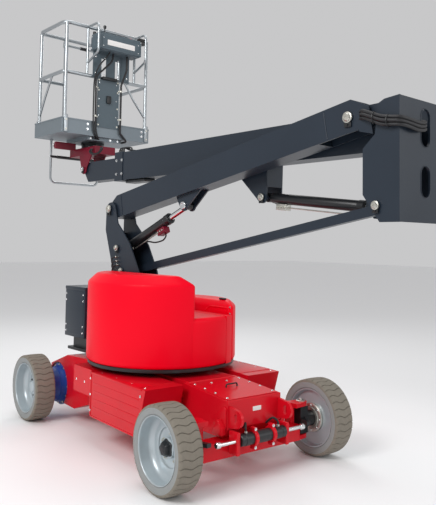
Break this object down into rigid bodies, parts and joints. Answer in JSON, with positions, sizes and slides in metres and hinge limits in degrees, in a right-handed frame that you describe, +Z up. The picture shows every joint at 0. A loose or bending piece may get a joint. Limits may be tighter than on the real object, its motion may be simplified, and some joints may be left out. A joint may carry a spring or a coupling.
{
  "type": "articulating boom lift",
  "caption": "Wheeled work platform on a telescopic upper boom, carried by an upright and a linked lower boom on a slewing turntable with steered front wheels.",
  "frame": {"origin": "centre of the bottom of the bounding box, on the floor under the tyres", "axes": "+X forward towards the steered axle, +Y to the machine's left, +Z up; the turntable stands slewed 3.5 degrees to the left"},
  "size_m": [4.372, 1.534, 3.7769],
  "materials": {
    "chassis_red": "gloss red paint",
    "hood_red": "gloss bright red moulding",
    "boom_slate": "satin dark slate blue paint",
    "black_steel": "satin black paint",
    "crimson": "satin dark crimson paint",
    "rail_steel": "satin pale grey paint",
    "floor_grey": "satin blue grey paint",
    "control_grey": "satin mid blue grey",
    "tyre_rubber": "matte pale grey brown rubber",
    "rim_silver": "satin silver grey paint",
    "motor_blue": "gloss blue paint",
    "bright_steel": "polished rod",
    "hose_black": "matte black"
  },
  "bodies": {
    "chassis": {"chassis_frame": "chassis_red", "nose_cover": "chassis_red", "side_box_right": "chassis_red", "side_box_left": "chassis_red", "rear_drive_box": "chassis_red", "front_axle_beam": "chassis_red", "steering_cylinder": "black_steel", "tie_down_right": "chassis_red", "tie_down_left": "chassis_red", "slew_ring": "black_steel", "drive_motor_right": "motor_blue", "drive_motor_left": "motor_blue"},
    "steering_rod": {"steering_rod": "bright_steel"},
    "knuckle_left": {"knuckle_left": "black_steel"},
    "knuckle_right": {"knuckle_right": "black_steel"},
    "rear_right_wheel": {"rear_right_tyre": "tyre_rubber", "rear_right_rim": "rim_silver"},
    "rear_left_wheel": {"rear_left_tyre": "tyre_rubber", "rear_left_rim": "rim_silver"},
    "front_right_wheel": {"front_right_tyre": "tyre_rubber", "front_right_rim": "rim_silver"},
    "front_left_wheel": {"front_left_tyre": "tyre_rubber", "front_left_rim": "rim_silver"},
    "turntable": {"turntable_deck": "boom_slate", "near_hood": "hood_red", "far_hood": "hood_red", "counterweight": "hood_red", "electrical_box": "black_steel", "riser": "boom_slate"},
    "lower_boom": {"lower_boom": "boom_slate"},
    "tension_link": {"tension_link": "boom_slate"},
    "lower_barrel": {"lower_barrel": "black_steel"},
    "lower_rod": {"lower_rod": "bright_steel"},
    "upright": {"upright": "boom_slate"},
    "upper_boom": {"upper_boom": "boom_slate", "slide_pad_carrier": "black_steel"},
    "upper_barrel": {"upper_barrel": "black_steel"},
    "upper_rod": {"upper_rod": "bright_steel"},
    "fly_boom": {"fly_boom": "boom_slate"},
    "platform_bracket": {"platform_bracket": "crimson", "rotator": "black_steel"},
    "platform": {"platform_floor": "floor_grey", "platform_rails": "rail_steel", "platform_control_box": "control_grey", "control_box_bracket": "black_steel", "support_plate": "floor_grey", "platform_hose": "hose_black", "foot_guard": "rail_steel"},
    "entry_bar": {"entry_bar": "rail_steel"}
  },
  "joints": [
    {"name": "steer_left", "type": "hinge", "parent": "chassis", "child": "knuckle_left", "pos_m": [0.96588, 0.5, 0.2795], "axis": [0, 0, 1], "range_deg": [-35, 35]},
    {"name": "steer_right", "type": "hinge", "parent": "chassis", "child": "knuckle_right", "pos_m": [0.96588, -0.5, 0.2795], "axis": [0, 0, 1], "range_deg": [-35.01, 35.01]},
    {"name": "steering_rod", "type": "slide", "parent": "chassis", "child": "steering_rod", "axis": [0, 1, 0], "range_m": [-0.08248, 0.08248]},
    {"name": "rear_right_spin", "type": "hinge", "parent": "chassis", "child": "rear_right_wheel", "pos_m": [-1.15412, -0.678, 0.2795], "axis": [0, 1, 0], "continuous": true},
    {"name": "rear_left_spin", "type": "hinge", "parent": "chassis", "child": "rear_left_wheel", "pos_m": [-1.15412, 0.678, 0.2795], "axis": [0, 1, 0], "continuous": true},
    {"name": "front_right_spin", "type": "hinge", "parent": "knuckle_right", "child": "front_right_wheel", "pos_m": [0.96588, -0.678, 0.2795], "axis": [0, 1, 0], "continuous": true},
    {"name": "front_left_spin", "type": "hinge", "parent": "knuckle_left", "child": "front_left_wheel", "pos_m": [0.96588, 0.678, 0.2795], "axis": [0, 1, 0], "continuous": true},
    {"name": "slew", "type": "hinge", "parent": "chassis", "child": "turntable", "pos_m": [-0.15412, 0, 0], "axis": [0, 0, 1], "range_deg": [-177, 177]},
    {"name": "lower_boom", "type": "hinge", "parent": "turntable", "child": "lower_boom", "pos_m": [-0.82257, -0.04589, 1.86], "axis": [0.061, -0.9981, 0], "range_deg": [-18, 50]},
    {"name": "tension_link", "type": "hinge", "parent": "turntable", "child": "tension_link", "pos_m": [-0.60603, 0.01744, 1.315], "axis": [0.061, -0.9981, 0], "range_deg": [-18.01, 50.01]},
    {"name": "upright", "type": "hinge", "parent": "lower_boom", "child": "upright", "pos_m": [1.80849, 0.11503, 2.34379], "axis": [0.061, -0.9981, 0], "range_deg": [-50.01, 18.01]},
    {"name": "lower_barrel", "type": "hinge", "parent": "turntable", "child": "lower_barrel", "pos_m": [-0.68283, -0.03735, 1.51], "axis": [0.061, -0.9981, 0], "range_deg": [-16.37, 45.45]},
    {"name": "lower_rod", "type": "slide", "parent": "lower_barrel", "child": "lower_rod", "axis": [0.9238, 0.0565, 0.3788], "range_m": [-0.11008, 0.30572]},
    {"name": "upper_boom", "type": "hinge", "parent": "upright", "child": "upper_boom", "pos_m": [1.9597, 0.32966, 2.29], "axis": [0.061, -0.9981, 0], "range_deg": [-70, 12]},
    {"name": "upper_barrel", "type": "hinge", "parent": "upper_boom", "child": "upper_barrel", "pos_m": [0.87173, 0.26312, 1.908], "axis": [0.061, -0.9981, 0], "range_deg": [-1.71, 10]},
    {"name": "upper_rod", "type": "slide", "parent": "upper_barrel", "child": "upper_rod", "axis": [0.9922, 0.0607, -0.1092], "range_m": [-0.09277, 0.54091]},
    {"name": "telescope", "type": "slide", "parent": "upper_boom", "child": "fly_boom", "axis": [-0.9981, -0.061, 0], "range_m": [0, 1.2]},
    {"name": "platform_level", "type": "hinge", "parent": "fly_boom", "child": "platform_bracket", "pos_m": [-1.70845, 0.10531, 2.305], "axis": [0.061, -0.9981, 0], "range_deg": [-12.01, 70.01]},
    {"name": "platform_swing", "type": "hinge", "parent": "platform_bracket", "child": "platform", "pos_m": [-1.8588, 0.18828, 2.636], "axis": [0, 0, 1], "range_deg": [-90, 90]},
    {"name": "entry_bar", "type": "slide", "parent": "platform", "child": "entry_bar", "axis": [0, 0, -1], "range_m": [0, 0.34]}
  ],
  "couplings": [
    {"joint": "steer_right", "follows": "steer_left", "ratio": 1},
    {"joint": "steering_rod", "follows": "steer_left", "m_per_rad": 0.135},
    {"joint": "tension_link", "follows": "lower_boom", "ratio": 1},
    {"joint": "upright", "follows": "lower_boom", "ratio": -1},
    {"joint": "lower_barrel", "follows": "lower_boom", "ratio": 0.909},
    {"joint": "lower_rod", "follows": "lower_boom", "m_per_rad": 0.3503},
    {"joint": "upper_barrel", "follows": "upper_boom", "ratio": -0.1428},
    {"joint": "upper_rod", "follows": "upper_boom", "m_per_rad": -0.4427},
    {"joint": "platform_level", "follows": "upper_boom", "ratio": -1}
  ]
}
